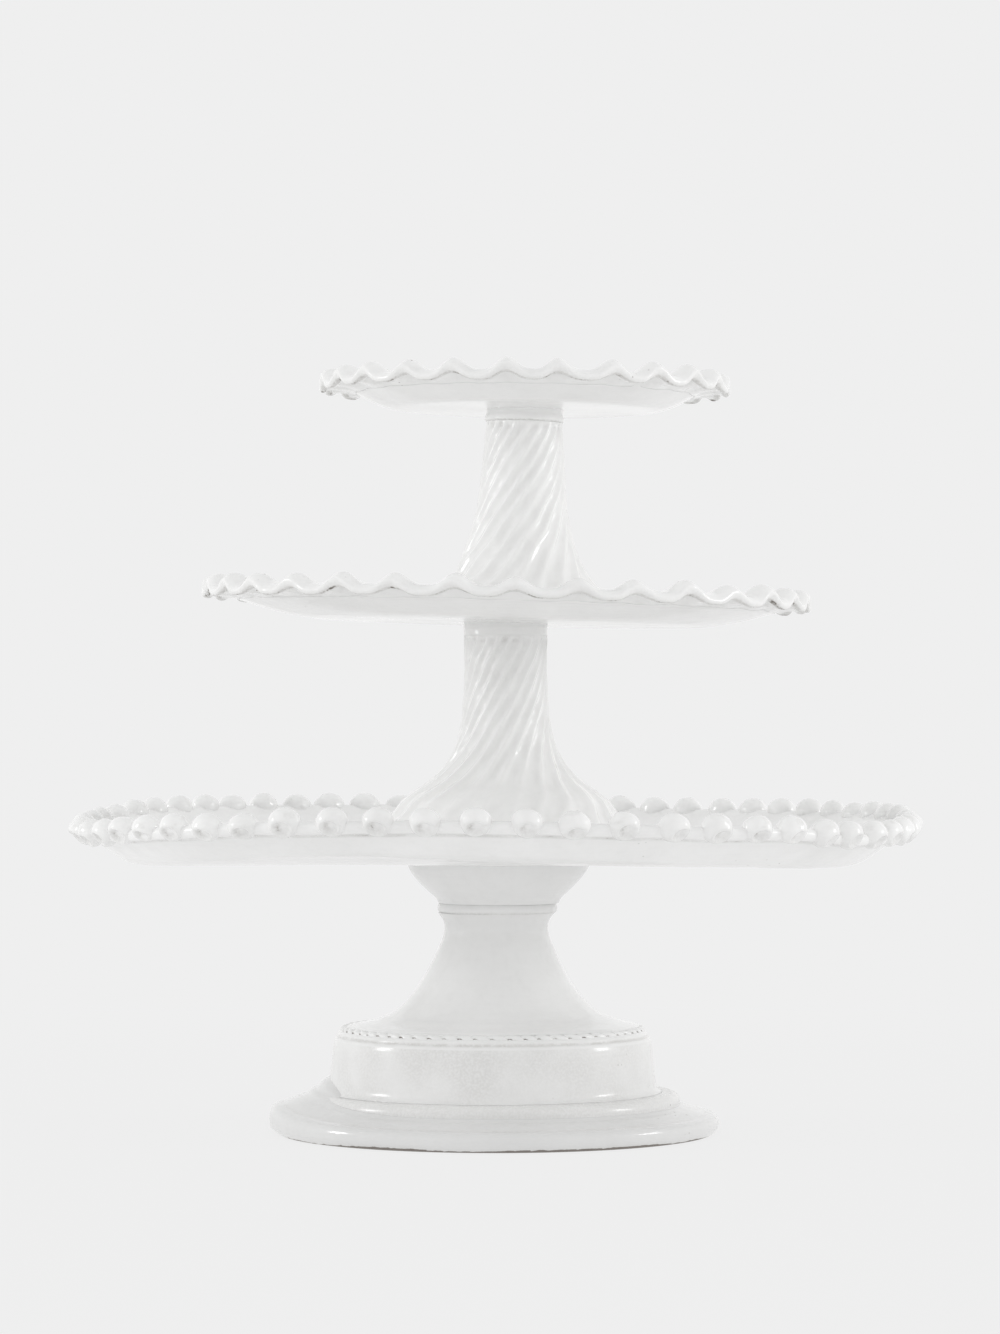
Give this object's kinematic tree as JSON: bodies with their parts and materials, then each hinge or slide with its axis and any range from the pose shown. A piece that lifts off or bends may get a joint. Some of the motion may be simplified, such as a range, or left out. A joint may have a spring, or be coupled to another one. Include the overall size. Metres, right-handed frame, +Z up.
{
  "type": "tiered cake stand",
  "caption": "Stack of footed white glazed pottery cake stands with a beaded foot, a pearl rim on the large plate and ruffled rims above.",
  "frame": {"origin": "centre of the large stand's foot, on the table", "axes": "+Z up, -Y towards the viewer, +X to the viewer's right, the side to which the upper stands lean"},
  "size_m": [0.4, 0.4, 0.358],
  "materials": {
    "glaze": "glossy milky glaze",
    "foot_glaze": "glossy milky glaze, bare dark clay at the bottom edge",
    "plate_glaze": "glossy milky glaze",
    "rim_glaze": "glossy milky glaze, thin on the edges",
    "column_glaze": "glossy milky glaze pooled in the flutes"
  },
  "bodies": {
    "large_stand": {"foot_plate": "foot_glaze", "foot_step": "glaze", "foot_drum": "glaze", "foot_bead_ring": "glaze", "stem": "glaze", "neck_ring": "glaze", "collar": "glaze", "large_plate": "plate_glaze", "large_plate_pearls": "rim_glaze"},
    "medium_stand": {"medium_column": "column_glaze", "medium_column_ring": "column_glaze", "medium_plate": "plate_glaze", "medium_plate_scallops": "rim_glaze"},
    "small_stand": {"small_column": "column_glaze", "small_column_ring": "column_glaze", "small_plate": "plate_glaze", "small_plate_scallops": "rim_glaze"}
  },
  "joints": [
    {"name": "medium_lift", "type": "slide", "parent": "large_stand", "child": "medium_stand", "axis": [0, 0, 1], "range_m": [0, 0.12]},
    {"name": "small_lift", "type": "slide", "parent": "medium_stand", "child": "small_stand", "axis": [0, 0, 1], "range_m": [0, 0.12]}
  ]
}
